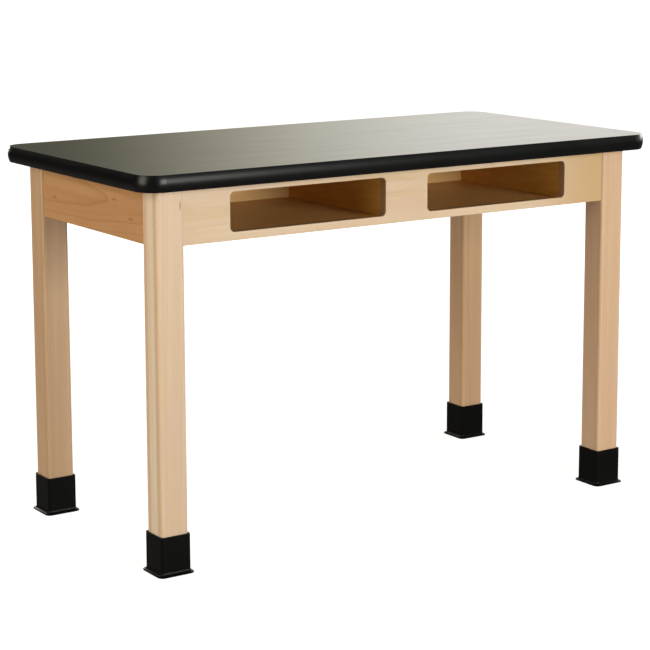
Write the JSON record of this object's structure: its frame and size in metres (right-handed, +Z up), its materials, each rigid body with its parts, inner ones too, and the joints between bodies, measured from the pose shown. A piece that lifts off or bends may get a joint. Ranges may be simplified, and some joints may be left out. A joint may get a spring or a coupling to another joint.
{
  "type": "science lab table",
  "caption": "Four-legged wooden lab table with a dark rounded top, two open book compartments behind the front apron, and boots over levelling glides.",
  "frame": {"origin": "on the floor under the centre of the top", "axes": "+X along the table to the right of someone seated at the compartments' side, +Y from that front to the back, +Z up"},
  "size_m": [1.219, 0.6094, 0.762],
  "materials": {
    "laminate": "black high-pressure laminate, satin",
    "particleboard": "raw particleboard",
    "backer": "brown phenolic backer sheet",
    "vinyl_edge": "black vinyl, semi-gloss",
    "maple": "solid maple, clear satin lacquer",
    "plywood": "veneered plywood, clear lacquer",
    "cleat_wood": "plain softwood cleats",
    "zinc_steel": "zinc-plated steel",
    "boot_vinyl": "black pliable moulded vinyl",
    "pad_nylon": "dark nylon"
  },
  "bodies": {
    "root": {"top_laminate": "laminate", "top_backer": "backer", "top_core": "particleboard", "edge_moulding": "vinyl_edge", "leg_front_left": "maple", "leg_front_right": "maple", "leg_back_right": "maple", "leg_back_left": "maple", "front_apron": "maple", "rear_apron": "maple", "left_end_apron": "maple", "right_end_apron": "maple", "left_compartment_back": "plywood", "left_compartment_outer_wall": "plywood", "left_compartment_inner_wall": "plywood", "left_compartment_floor": "plywood", "right_compartment_back": "plywood", "right_compartment_outer_wall": "plywood", "right_compartment_inner_wall": "plywood", "right_compartment_floor": "plywood", "apron_cleats": "cleat_wood", "compartment_cleats": "cleat_wood", "top_screws": "zinc_steel", "corner_bracket_front_left": "zinc_steel", "corner_bracket_front_right": "zinc_steel", "corner_bracket_back_right": "zinc_steel", "corner_bracket_back_left": "zinc_steel", "hanger_bolts": "zinc_steel", "bracket_washers": "zinc_steel", "bracket_nuts": "zinc_steel", "bracket_screws": "zinc_steel", "leg_inserts": "zinc_steel"},
    "pad_front_left": {"glide_pad_front_left": "pad_nylon"},
    "stem_front_left": {"glide_stem_front_left": "zinc_steel"},
    "shoe_front_left": {"boot_front_left": "boot_vinyl"},
    "pad_front_right": {"glide_pad_front_right": "pad_nylon"},
    "stem_front_right": {"glide_stem_front_right": "zinc_steel"},
    "shoe_front_right": {"boot_front_right": "boot_vinyl"},
    "pad_back_right": {"glide_pad_back_right": "pad_nylon"},
    "stem_back_right": {"glide_stem_back_right": "zinc_steel"},
    "shoe_back_right": {"boot_back_right": "boot_vinyl"},
    "pad_back_left": {"glide_pad_back_left": "pad_nylon"},
    "stem_back_left": {"glide_stem_back_left": "zinc_steel"},
    "shoe_back_left": {"boot_back_left": "boot_vinyl"}
  },
  "joints": [
    {"name": "glide_slide_front_left", "type": "slide", "parent": "root", "child": "pad_front_left", "axis": [0, 0, -1], "range_m": [0, 0.01905]},
    {"name": "glide_screw_front_left", "type": "hinge", "parent": "pad_front_left", "child": "stem_front_left", "pos_m": [-0.53658, -0.23813, 0], "axis": [0, 0, -1], "range_deg": [0, 4321]},
    {"name": "boot_slide_front_left", "type": "slide", "parent": "root", "child": "shoe_front_left", "axis": [0, 0, 1], "range_m": [-0.019, 0.05]},
    {"name": "glide_slide_front_right", "type": "slide", "parent": "root", "child": "pad_front_right", "axis": [0, 0, -1], "range_m": [0, 0.01905]},
    {"name": "glide_screw_front_right", "type": "hinge", "parent": "pad_front_right", "child": "stem_front_right", "pos_m": [0.53658, -0.23813, 0], "axis": [0, 0, -1], "range_deg": [0, 4321]},
    {"name": "boot_slide_front_right", "type": "slide", "parent": "root", "child": "shoe_front_right", "axis": [0, 0, 1], "range_m": [-0.019, 0.05]},
    {"name": "glide_slide_back_right", "type": "slide", "parent": "root", "child": "pad_back_right", "axis": [0, 0, -1], "range_m": [0, 0.01905]},
    {"name": "glide_screw_back_right", "type": "hinge", "parent": "pad_back_right", "child": "stem_back_right", "pos_m": [0.53658, 0.23813, 0], "axis": [0, 0, -1], "range_deg": [0, 4321]},
    {"name": "boot_slide_back_right", "type": "slide", "parent": "root", "child": "shoe_back_right", "axis": [0, 0, 1], "range_m": [-0.019, 0.05]},
    {"name": "glide_slide_back_left", "type": "slide", "parent": "root", "child": "pad_back_left", "axis": [0, 0, -1], "range_m": [0, 0.01905]},
    {"name": "glide_screw_back_left", "type": "hinge", "parent": "pad_back_left", "child": "stem_back_left", "pos_m": [-0.53658, 0.23813, 0], "axis": [0, 0, -1], "range_deg": [0, 4321]},
    {"name": "boot_slide_back_left", "type": "slide", "parent": "root", "child": "shoe_back_left", "axis": [0, 0, 1], "range_m": [-0.019, 0.05]}
  ],
  "couplings": [
    {"joint": "glide_screw_front_left", "follows": "glide_slide_front_left", "rad_per_m": 3957.9},
    {"joint": "glide_screw_front_right", "follows": "glide_slide_front_right", "rad_per_m": 3957.9},
    {"joint": "glide_screw_back_right", "follows": "glide_slide_back_right", "rad_per_m": 3957.9},
    {"joint": "glide_screw_back_left", "follows": "glide_slide_back_left", "rad_per_m": 3957.9}
  ]
}
